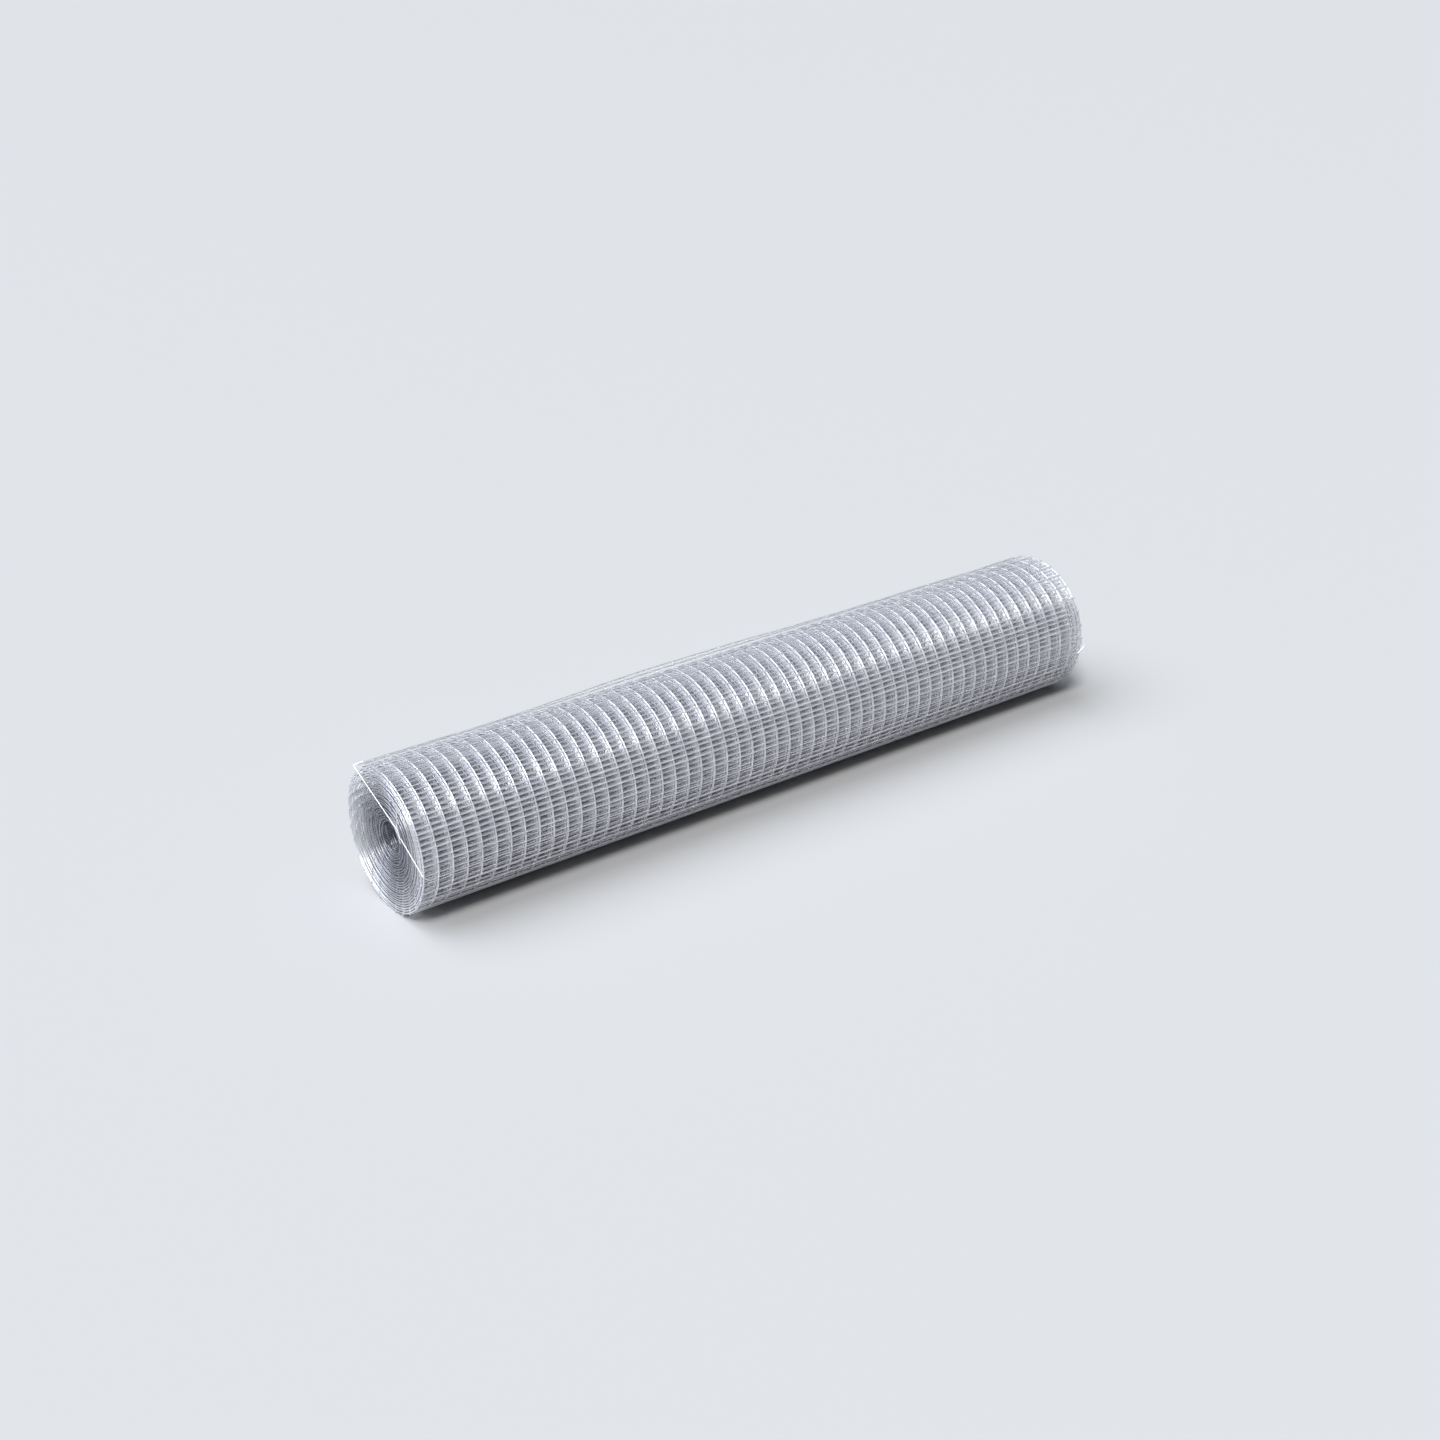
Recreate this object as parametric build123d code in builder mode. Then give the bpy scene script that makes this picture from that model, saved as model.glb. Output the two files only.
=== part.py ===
# Roll of welded wire fencing lying on its side, with two tie wires twisted
# together across each end. The roll's axis runs along X, its length is centred
# on X = 0 and it rests on Z = 0. The near end faces -X.

import os
from math import cos, hypot, pi, radians, sin

from build123d import *

os.makedirs("parts", exist_ok=True)

# Mesh sheet: square cells, line wires round the roll, cross wires along it
cell_size = 19.0
cell_count = 53
mesh_wire = 1.45
selvedge_stub = 1.5
roll_length = cell_count * cell_size + mesh_wire + 2 * selvedge_stub

# Spiral of the sheet: each turn is one cell shorter than the turn outside it, so
# the turns nest at a little over two wires thick
bore_radius = 18.0
turn_count = 24
turn_pitch = cell_size / (2 * pi)
roll_radius = bore_radius + turn_count * turn_pitch

# Ends: the sheet is one width, so where the inner turns have slipped along the
# roll they lie back at the near end and stand out at the far end
inner_slip = 8.0
slip_power = 1.5
groove_depth = 1.5
turns_per_ring = 2

# Tie wires: hooked over the rim, twisted together off to one side of the bore
tie_wire = 1.2
seat_gap = 0.2
bend_radius = 1.2
hook_reach = 9.0
hook_turn = 5.0
upper_hook_angle = 50.0
lower_hook_angle = 184.0
twist_start = (-36.4, 29.4)
twist_end = (-42.0, 20.5)
twist_turns = 2
strand_gap = 0.2
lead_in = 1.5
lower_tail_end = (-39.6, 62.0)
upper_tail_end = (-42.5, 14.5)
far_lift = 6.0

ring_count = round(turn_count / turns_per_ring)
ring_pitch = (roll_radius - bore_radius) / ring_count
rim_clearance = tie_wire / 2 + seat_gap
hook_radius = roll_radius + rim_clearance
twist_length = hypot(twist_end[0] - twist_start[0], twist_end[1] - twist_start[1])
twist_pitch = twist_length / twist_turns
coil_radius = (tie_wire + strand_gap) / 2
twist_depth = rim_clearance + coil_radius + tie_wire / 2
near_rim = -(roll_length + inner_slip - twist_depth) / 2
far_rim = near_rim + roll_length


def slip(radius):
    """How far a turn lies along the roll from the outermost turn."""
    share = (roll_radius - radius) / (roll_radius - bore_radius)
    return inner_slip * share**slip_power


# Half profile, from the bore to the rim: a valley, then a crest, for each ring of turns
near_profile = []
far_profile = []
for ring in range(ring_count):
    valley = bore_radius + ring * ring_pitch
    crest = valley + ring_pitch / 2
    near_profile.append((near_rim + slip(valley) + groove_depth, valley))
    near_profile.append((near_rim + slip(crest), crest))
    far_profile.append((far_rim + slip(valley) - groove_depth, valley))
    far_profile.append((far_rim + slip(crest), crest))
near_profile.append((near_rim + groove_depth, roll_radius))
far_profile.append((far_rim - groove_depth, roll_radius))

# The rolled sheet: one turned solid with its bore
with BuildPart() as mesh_roll:
    with BuildSketch(Plane((0, 0, roll_radius), x_dir=(1, 0, 0), z_dir=(0, -1, 0))):
        with BuildLine():
            Polyline(*far_profile, *reversed(near_profile), close=True)
        make_face()
    revolve(axis=Axis((0, 0, roll_radius), (1, 0, 0)))


def rim_point(angle, x):
    """Point on a hooked wire's centre line over the rim, at an angle in the end's own plane."""
    return Vector(
        x,
        hook_radius * cos(radians(angle)),
        roll_radius + hook_radius * sin(radians(angle)),
    )


def tie_strand(rim, lift, hook_angle, phase, tail_end, backward):
    """One strand: hook over the rim at X = rim, straight leg, helix of the twist, tail.

    The end faces -X, and the twist stands off the rim's plane by the lift.
    """
    face = rim - rim_clearance
    start = Vector(face - lift, twist_start[0], roll_radius + twist_start[1])
    end = Vector(face - lift, twist_end[0], roll_radius + twist_end[1])
    tail = Vector(face - lift, tail_end[0], roll_radius + tail_end[1])
    across = Plane(start, x_dir=(-1, 0, 0), z_dir=end - start)
    coil = across.location * Rot(0, 0, phase) * Helix(twist_pitch, twist_length, coil_radius)
    lead = [coil @ 0 - coil % 0 * lead_in, coil @ 0]
    follow = [coil @ 1, coil @ 1 + coil % 1 * lead_in]
    if backward:
        lead, follow = follow[::-1], lead[::-1]
    hook_tip = rim_point(hook_angle + hook_turn, rim + hook_reach)
    with BuildPart() as wire:
        with BuildLine():
            FilletPolyline(hook_tip, rim_point(hook_angle, face), *lead, radius=bend_radius)
            add(coil)
            FilletPolyline(*follow, tail, radius=bend_radius)
        with BuildSketch(Plane(hook_tip, z_dir=rim_point(hook_angle, face) - hook_tip)):
            Circle(tie_wire / 2)
        sweep()
    return wire.part


# Near end: the upper strand comes down from the free edge of the sheet, the lower
# one up from the front, and the lower one's tail runs on upward
with BuildPart() as tie_near_upper:
    add(tie_strand(near_rim, 0, upper_hook_angle, 0, upper_tail_end, False))

with BuildPart() as tie_near_lower:
    add(tie_strand(near_rim, 0, lower_hook_angle, 180, lower_tail_end, True))

# Far end: the same pair mirrored, with the twist lifted clear of the inner turns
with BuildPart() as tie_far_upper:
    far_upper = tie_strand(-far_rim, far_lift, upper_hook_angle, 0, upper_tail_end, False)
    mirror(far_upper, about=Plane.YZ)

with BuildPart() as tie_far_lower:
    far_lower = tie_strand(-far_rim, far_lift, lower_hook_angle, 180, lower_tail_end, True)
    mirror(far_lower, about=Plane.YZ)

mesh_roll.part.label = "mesh_roll"
tie_near_upper.part.label = "tie_near_upper"
tie_near_lower.part.label = "tie_near_lower"
tie_far_upper.part.label = "tie_far_upper"
tie_far_lower.part.label = "tie_far_lower"

export_step(mesh_roll.part, "parts/mesh_roll.step")
export_step(tie_near_upper.part, "parts/tie_near_upper.step")
export_step(tie_near_lower.part, "parts/tie_near_lower.step")
export_step(tie_far_upper.part, "parts/tie_far_upper.step")
export_step(tie_far_lower.part, "parts/tie_far_lower.step")
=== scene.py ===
# Roll of galvanised welded mesh on a pale floor, dressed over its CAD frame.
# The roll lies along X, its near end faces -X, and the sheet's free edge is at the back of the top.

import math

import bpy
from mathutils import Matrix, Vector


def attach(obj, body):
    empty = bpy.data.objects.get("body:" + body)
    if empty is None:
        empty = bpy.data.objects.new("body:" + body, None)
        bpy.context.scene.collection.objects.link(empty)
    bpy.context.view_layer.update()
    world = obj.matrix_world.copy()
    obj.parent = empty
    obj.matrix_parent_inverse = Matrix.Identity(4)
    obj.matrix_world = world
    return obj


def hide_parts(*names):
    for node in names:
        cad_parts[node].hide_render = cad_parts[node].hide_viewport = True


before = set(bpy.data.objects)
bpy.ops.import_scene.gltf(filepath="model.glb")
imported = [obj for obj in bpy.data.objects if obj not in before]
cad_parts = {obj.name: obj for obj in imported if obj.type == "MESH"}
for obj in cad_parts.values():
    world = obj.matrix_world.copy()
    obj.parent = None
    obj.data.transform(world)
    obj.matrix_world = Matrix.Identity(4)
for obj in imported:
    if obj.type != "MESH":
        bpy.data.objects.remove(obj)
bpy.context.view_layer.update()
print("frame loaded")


# Zinc: one look for the mesh, a brighter one with less painted shade for the tie wires
zincPattern = {
    "axisHeight": 0.0886,
    "shadeFreeRadius": 0.0885,
    # painted shade on the zinc fades out by this radius from the axis
    "patchDetail": 4.0,
    "patchStart": 0.42,
    "patchEnd": 0.72,
}
meshLook = {
    "wireColour": (0.94, 0.94, 0.97),
    "dullColour": (0.86, 0.86, 0.91),
    # painted shade: the mesh zinc darkens to this colour toward the roll's axis
    "paintedShadeColour": (0.40, 0.40, 0.46),     # darker than real zinc, so that gaps between wires read dark
    "fullShadeRadius": 0.038,
    "metallic": 0.75,
    "roughness": 0.38,
    "spangleSize": 55.0,
}
tieLook = {
    "wireColour": (0.96, 0.95, 0.95),
    "dullColour": (0.88, 0.87, 0.87),
    # painted shade toward the roll's axis, much lighter than on the mesh
    "paintedShadeColour": (0.90, 0.89, 0.89),
    "fullShadeRadius": 0.035,
    "metallic": 0.6,
    "roughness": 0.38,
    "spangleSize": 90.0,
}


def makeZinc(name, look):
    # bright zinc with duller patches along the wire, and painted shade that darkens it toward the
    # roll's axis
    material = bpy.data.materials.new(name)
    material.use_nodes = True
    nodes = material.node_tree.nodes
    links = material.node_tree.links
    shader = nodes["Principled BSDF"]
    shader.inputs["Metallic"].default_value = look["metallic"]
    shader.inputs["Roughness"].default_value = look["roughness"]
    place = nodes.new("ShaderNodeTexCoord")

    patches = nodes.new("ShaderNodeTexNoise")
    patches.inputs["Scale"].default_value = look["spangleSize"]
    patches.inputs["Detail"].default_value = zincPattern["patchDetail"]
    spread = nodes.new("ShaderNodeMapRange")
    spread.inputs["From Min"].default_value = zincPattern["patchStart"]
    spread.inputs["From Max"].default_value = zincPattern["patchEnd"]
    patchy = nodes.new("ShaderNodeMix")
    patchy.data_type = "RGBA"
    patchy.inputs["A"].default_value = (*look["wireColour"], 1.0)
    patchy.inputs["B"].default_value = (*look["dullColour"], 1.0)
    links.new(place.outputs["Object"], patches.inputs["Vector"])
    links.new(patches.outputs["Fac"], spread.inputs["Value"])
    links.new(spread.outputs["Result"], patchy.inputs["Factor"])

    # painted shade: the colour darkens toward the roll's axis, by the distance from it
    fromAxis = nodes.new("ShaderNodeMapping")
    fromAxis.inputs["Location"].default_value = (0.0, 0.0, -zincPattern["axisHeight"])
    fromAxis.inputs["Scale"].default_value = (0.0, 1.0, 1.0)
    distance = nodes.new("ShaderNodeVectorMath")
    distance.operation = "LENGTH"
    outward = nodes.new("ShaderNodeMapRange")
    outward.inputs["From Min"].default_value = look["fullShadeRadius"]
    outward.inputs["From Max"].default_value = zincPattern["shadeFreeRadius"]
    paintedShadeRamp = nodes.new("ShaderNodeMix")
    paintedShadeRamp.data_type = "RGBA"
    paintedShadeRamp.inputs["A"].default_value = (*look["paintedShadeColour"], 1.0)
    links.new(place.outputs["Object"], fromAxis.inputs["Vector"])
    links.new(fromAxis.outputs["Vector"], distance.inputs[0])
    links.new(distance.outputs["Value"], outward.inputs["Value"])
    links.new(outward.outputs["Result"], paintedShadeRamp.inputs["Factor"])
    links.new(patchy.outputs["Result"], paintedShadeRamp.inputs["B"])
    links.new(paintedShadeRamp.outputs["Result"], shader.inputs["Base Color"])
    return material


meshZinc = makeZinc("galvanisedMesh", meshLook)
tieZinc = makeZinc("tieWireZinc", tieLook)
print("materials made")


# The rolled sheet
sheetRoll = {
    "outerRadius": 0.090574,
    "turns": 23.7,            # once round each, from the bore to the free edge
    "lastTurnCells": 29.589,  # cells in the last turn; every turn inward has one fewer
    "cell": 0.019,
    "cellsAcross": 53,
    "wire": 0.00145,
    "weldSink": 0.0001,       # how far a cross wire is pressed into the line wires
    "stub": 0.0015,           # cross wire past the selvedge
    "nearSelvedge": -0.50645,
    "slip": 0.0080,
    "slipPower": 1.5,
    "freeEdge": 124.4,        # degrees up from the front, over the top
}
sheetRoll["crossOut"] = sheetRoll["wire"] - sheetRoll["weldSink"]
sheetRoll["endRadius"] = sheetRoll["outerRadius"] - sheetRoll["crossOut"] - sheetRoll["wire"] / 2
sheetRoll["pitch"] = sheetRoll["endRadius"] / (sheetRoll["lastTurnCells"] + 0.5)
sheetRoll["cellAlong"] = sheetRoll["pitch"] * 2.0 * math.pi
sheetRoll["startRadius"] = sheetRoll["endRadius"] - sheetRoll["pitch"] * sheetRoll["turns"]
sheetRoll["lastAngle"] = 360.0 * sheetRoll["turns"]
bottomTurn = (sheetRoll["freeEdge"] + 90.0) / 360.0
sheetRoll["axisHeight"] = sheetRoll["outerRadius"] - sheetRoll["pitch"] * bottomTurn

# How unevenly it is rolled: each span is the degrees round the spiral that one step of a ripple takes
unevenness = {
    "drift": 0.0006,          # along the roll
    "innerDrift": 0.0011,     # added toward the bore
    "driftSpan": 140.0,
    "wander": 0.00025,        # along the roll, wire by wire
    "wanderSpan": 31.0,
    "wanderAcross": 40.0,
    "waver": 0.00008,         # in and out
    "waverSpan": 17.0,
    "waverAcross": 13.0,
    "boreWaver": 0.4,         # share of the waver that is left at the bore
}

# The free edge, where the sheet springs off the turn below
springEdge = {
    "span": 34.0,             # degrees that spring away
    "lift": 0.0014,
    "liftRipple": 0.0008,
    "rippleAcross": 17.0,
    "middleLift": 0.0042,
    "middle": 0.45,           # across the sheet
    "reach": 0.24,
    "stub": 0.0042,           # line wire past the last cross wire
    "stubShare": 0.6,
    "stubRipple": 0.5,
    "stubStep": 1.7,
    "curl": 0.0012,
    "curlRipple": 0.0010,
    "curlStep": 2.3,
}


def ripple(value, seed):
    # smooth, repeatable unevenness between -1 and 1
    first = math.sin(value * 1.00 + seed * 12.9)
    second = math.sin(value * 2.37 + seed * 7.3 + 1.1)
    third = math.sin(value * 5.11 + seed * 3.7 + 2.6)
    return first * 0.5 + second * 0.3 + third * 0.2


def hoopRadius(angle):
    return sheetRoll["startRadius"] + sheetRoll["pitch"] * angle / 360.0


def edgeLift(angle, across):
    # the free edge springs off the turn below, most around the middle of the sheet
    start = sheetRoll["lastAngle"] - springEdge["span"]
    share = max(0.0, (angle - start) / springEdge["span"])
    rise = springEdge["lift"]
    rise += springEdge["liftRipple"] * ripple(across * springEdge["rippleAcross"], seed=4.0)
    away = abs(across - springEdge["middle"]) / springEdge["reach"]
    if away < 1.0:
        rise += springEdge["middleLift"] * (1.0 - away * away)
    return rise * share * share


def alongRoll(angle, across, share):
    # place along X: inner turns have slipped, and every turn drifts a little
    slip = sheetRoll["slip"] * share ** sheetRoll["slipPower"]
    drift = unevenness["drift"] + unevenness["innerDrift"] * share
    drift *= ripple(angle / unevenness["driftSpan"], seed=1.0)
    step = angle / unevenness["wanderSpan"] + across * unevenness["wanderAcross"]
    wander = unevenness["wander"] * ripple(step, seed=2.0)
    return sheetRoll["nearSelvedge"] + across + slip + drift + wander


def sheetPoint(angle, across, outward=0.0):
    # a point of the rolled sheet: angle along the spiral in degrees, distance across the sheet
    radius = hoopRadius(angle)
    span = sheetRoll["endRadius"] - sheetRoll["startRadius"]
    share = min(1.0, max(0.0, (sheetRoll["endRadius"] - radius) / span))
    boreWaver = unevenness["boreWaver"]
    waver = unevenness["waver"] * (boreWaver + (1.0 - boreWaver) * (1.0 - share))
    step = angle / unevenness["waverSpan"] + across * unevenness["waverAcross"]
    waver *= ripple(step, seed=3.0)
    reach = radius + outward + waver + edgeLift(angle, across)
    turn = math.radians(sheetRoll["freeEdge"] - sheetRoll["lastAngle"] + angle)
    return (
        alongRoll(angle, across, share),
        -reach * math.cos(turn),
        sheetRoll["axisHeight"] + reach * math.sin(turn),
    )


def wirePiece(name, paths, radius, resolution, material):
    # round wires along their paths, as one mesh
    bpy.ops.object.select_all(action="DESELECT")
    curve = bpy.data.curves.new(name, "CURVE")
    curve.dimensions = "3D"
    curve.bevel_depth = radius
    curve.bevel_resolution = resolution
    curve.use_fill_caps = True
    for path in paths:
        spline = curve.splines.new("POLY")
        spline.points.add(len(path) - 1)
        flat = [value for point in path for value in (*point, 1.0)]
        spline.points.foreach_set("co", flat)
        spline.use_smooth = True
    piece = bpy.data.objects.new(name, curve)
    bpy.context.scene.collection.objects.link(piece)
    piece.select_set(True)
    bpy.context.view_layer.objects.active = piece
    bpy.ops.object.convert(target="MESH")
    piece = bpy.context.view_layer.objects.active
    piece.data.materials.clear()
    piece.data.materials.append(material)
    triangles = sum(len(face.vertices) - 2 for face in piece.data.polygons)
    print(name, "triangles", triangles)
    return piece


def crossAngles():
    # angles along the spiral where the cross wires are welded, one cell apart along the sheet
    angles = []
    angle = sheetRoll["lastAngle"]
    while angle > 0.0:
        angles.append(angle)
        angle -= math.degrees(sheetRoll["cellAlong"] / hoopRadius(angle))
    return angles


def freeEnd(number, across):
    # the bent end of a line wire, past the last cross wire
    tail = math.degrees(springEdge["stub"] / sheetRoll["endRadius"])
    stubStep = number * springEdge["stubStep"]
    tail *= springEdge["stubShare"] + springEdge["stubRipple"] * ripple(stubStep, seed=5.0)
    curlStep = number * springEdge["curlStep"]
    curl = springEdge["curl"] + springEdge["curlRipple"] * ripple(curlStep, seed=6.0)
    return sheetPoint(sheetRoll["lastAngle"] + tail, across, curl)


def spiralPiece(name, firstTurn, lastTurn, stepsPerTurn, resolution, crossSteps):
    # every line wire and cross wire of some of the turns
    steps = round((lastTurn - firstTurn) * stepsPerTurn)
    start = firstTurn * 360.0
    angles = [start + 360.0 * step / stepsPerTurn for step in range(steps + 1)]
    paths = []
    for number in range(sheetRoll["cellsAcross"] + 1):
        across = number * sheetRoll["cell"]
        path = [sheetPoint(angle, across) for angle in angles]
        if lastTurn == sheetRoll["turns"]:
            path.append(freeEnd(number, across))
        paths.append(path)
    width = sheetRoll["cellsAcross"] * sheetRoll["cell"]
    for angle in crossAngles():
        if not start < angle <= lastTurn * 360.0:
            continue
        ends = (-sheetRoll["stub"], width + sheetRoll["stub"])
        path = []
        for step in range(crossSteps + 1):
            across = ends[0] + (ends[1] - ends[0]) * step / crossSteps
            path.append(sheetPoint(angle, across, sheetRoll["crossOut"]))
        paths.append(path)
    piece = wirePiece(name, paths, sheetRoll["wire"] / 2, resolution, meshZinc)
    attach(piece, "root")
    return piece


# Steps are short enough that one turn hardly cuts into the next
spiralPiece("innerTurns", firstTurn=0, lastTurn=9.7, stepsPerTurn=40, resolution=0, crossSteps=4)
spiralPiece("middleTurns", firstTurn=9.7, lastTurn=15.7, stepsPerTurn=60, resolution=0, crossSteps=6)
spiralPiece("upperTurns", firstTurn=15.7, lastTurn=19.7, stepsPerTurn=60, resolution=0, crossSteps=8)
spiralPiece("outerTurns", firstTurn=19.7, lastTurn=21.7, stepsPerTurn=60, resolution=1, crossSteps=16)
lastTurns = spiralPiece(
    "lastTurns", firstTurn=21.7, lastTurn=23.7, stepsPerTurn=72, resolution=1, crossSteps=27
)
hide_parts("mesh_roll")
print("sheet rolled")


# Tie wires
tieZincs = {
    "tie_near_upper": tieZinc,
    "tie_near_lower": tieZinc,
    # the far strands take the mesh zinc, with its painted shade toward the axis
    "tie_far_upper": meshZinc,   # duller, as no bright tie shows at the far end
    "tie_far_lower": meshZinc,
}
for strand, zinc in tieZincs.items():
    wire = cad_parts[strand]
    wire.data.materials.clear()
    wire.data.materials.append(zinc)
print("tie wires dressed")


# Floor, light and camera
studio = {
    "floorSize": 40.0,
    "floorRoughness": 0.9,
    "floorColour": (0.46, 0.46, 0.46),
    "bounceColour": (0.04, 0.04, 0.04),   # what the floor gives back to rough surfaces
    "skyColour": (0.84, 0.90, 1.0),
    "skyStrength": 0.10,
    "softFrom": (-0.75, 0.50, 1.75),
    "softWidth": 55.0,        # degrees across
    "softStrength": 3.3,
    "softColour": (0.86, 0.92, 1.0),
    "sunFrom": (-0.43, -0.41, 0.77),
    "sunWidth": 15.0,
    "sunStrength": 2.9,
}

bpy.ops.object.select_all(action="DESELECT")
bpy.ops.mesh.primitive_plane_add(size=studio["floorSize"], location=(0.0, 0.0, 0.0))
floor = bpy.context.active_object
floor.name = "floor"
floorLook = bpy.data.materials.new("paleFloor")
floorLook.use_nodes = True
floorNodes = floorLook.node_tree.nodes
floorLinks = floorLook.node_tree.links
floorShader = floorNodes["Principled BSDF"]
floorShader.inputs["Roughness"].default_value = studio["floorRoughness"]
rays = floorNodes.new("ShaderNodeLightPath")
seen = floorNodes.new("ShaderNodeMath")
seen.operation = "MAXIMUM"
seenThrough = floorNodes.new("ShaderNodeMath")
seenThrough.operation = "MAXIMUM"
paleOrDim = floorNodes.new("ShaderNodeMix")
paleOrDim.data_type = "RGBA"
paleOrDim.inputs["A"].default_value = (*studio["bounceColour"], 1.0)
paleOrDim.inputs["B"].default_value = (*studio["floorColour"], 1.0)
floorLinks.new(rays.outputs["Is Camera Ray"], seen.inputs[0])
floorLinks.new(rays.outputs["Is Glossy Ray"], seen.inputs[1])
floorLinks.new(seen.outputs["Value"], seenThrough.inputs[0])
floorLinks.new(rays.outputs["Is Transmission Ray"], seenThrough.inputs[1])
floorLinks.new(seenThrough.outputs["Value"], paleOrDim.inputs["Factor"])
floorLinks.new(paleOrDim.outputs["Result"], floorShader.inputs["Base Color"])
floor.data.materials.append(floorLook)

world = bpy.data.worlds.new("studioSky")
bpy.context.scene.world = world
world.use_nodes = True
sky = world.node_tree.nodes["Background"]
sky.inputs["Color"].default_value = (*studio["skyColour"], 1.0)
sky.inputs["Strength"].default_value = studio["skyStrength"]


def addSun(name, fromPlace, width, strength):
    # a lamp far away, wide enough for soft edges
    place = Vector(fromPlace)
    bpy.ops.object.light_add(type="SUN", location=place)
    lamp = bpy.context.active_object
    lamp.name = name
    lamp.data.angle = math.radians(width)
    lamp.data.energy = strength
    lamp.rotation_euler = (-place).to_track_quat("-Z", "Y").to_euler()
    return lamp


addSun("sunLight", studio["sunFrom"], studio["sunWidth"], studio["sunStrength"])
softLight = addSun("softLight", studio["softFrom"], studio["softWidth"], studio["softStrength"])
softLight.data.color = studio["softColour"]

cameraView = {
    "place": (-1.52107, -2.00763, 1.36938),
    "target": (-0.0259, 0.0132, 0.09047),
    "lens": 56.554,
    "sensor": 36.0,
}
bpy.ops.object.camera_add(location=cameraView["place"])
camera = bpy.context.active_object
camera.name = "photoCamera"
camera.data.lens = cameraView["lens"]
camera.data.sensor_width = cameraView["sensor"]
toward = Vector(cameraView["target"]) - Vector(cameraView["place"])
camera.rotation_euler = toward.to_track_quat("-Z", "Y").to_euler()
bpy.context.scene.camera = camera
bpy.context.scene.view_settings.view_transform = "Standard"
print("studio ready")
